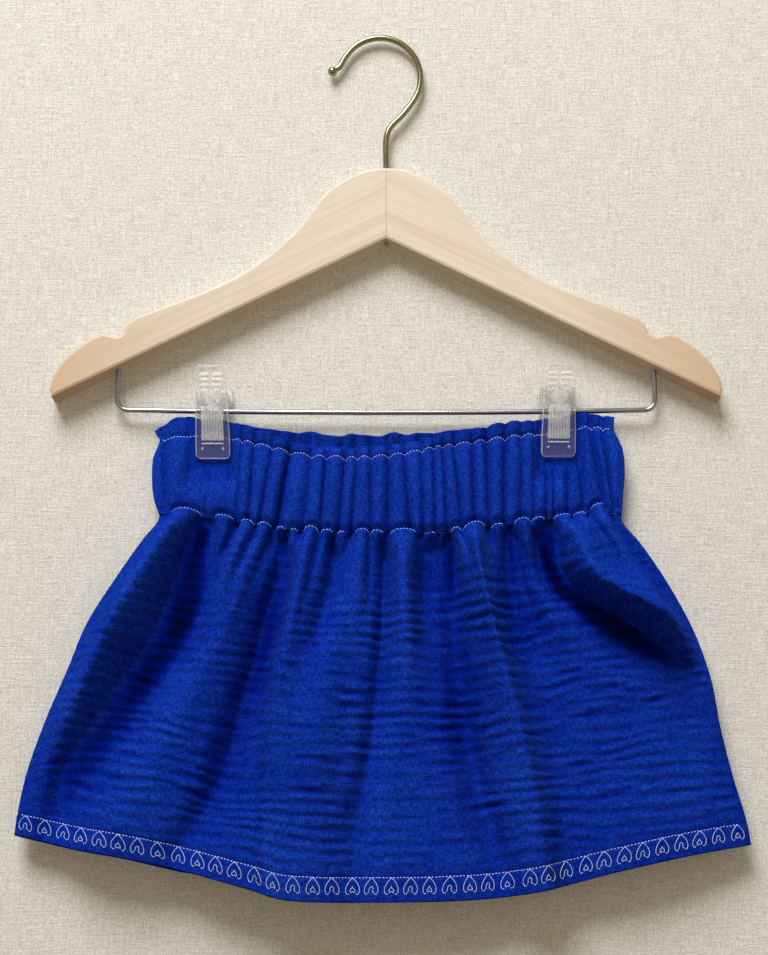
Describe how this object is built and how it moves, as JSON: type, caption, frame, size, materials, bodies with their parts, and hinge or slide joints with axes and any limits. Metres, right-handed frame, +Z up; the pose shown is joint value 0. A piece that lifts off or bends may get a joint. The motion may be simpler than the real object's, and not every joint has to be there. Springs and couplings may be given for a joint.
{
  "type": "gauze skirt on a clip hanger",
  "caption": "Gathered gauze skirt with an elastic waist casing and heading frill, clipped flat to a wooden hanger with a wire hook.",
  "frame": {"origin": "inside of the hook's crown, where a rail bears", "axes": "+Z up, the front of the skirt faces -Y, +X to the right seen from the front"},
  "size_m": [0.3617, 0.0423, 0.4555],
  "materials": {
    "gauze": "soft crinkled double gauze, matt, royal blue",
    "hanger_wood": "smooth pale wood, clear satin",
    "hook_metal": "brushed brass",
    "bar_metal": "bright chrome wire",
    "clip_plastic": "clear moulded plastic"
  },
  "bodies": {
    "root": {"panel_front": "gauze", "panel_back": "gauze", "waistband_front": "gauze", "waistband_back": "gauze", "hanger_arm_left": "hanger_wood", "hanger_arm_right": "hanger_wood", "hook": "hook_metal", "clip_bar": "bar_metal", "clip_left_front_jaw": "clip_plastic", "clip_left_back_jaw": "clip_plastic", "clip_left_hub": "clip_plastic", "clip_right_front_jaw": "clip_plastic", "clip_right_back_jaw": "clip_plastic", "clip_right_hub": "clip_plastic"}
  },
  "joints": []
}
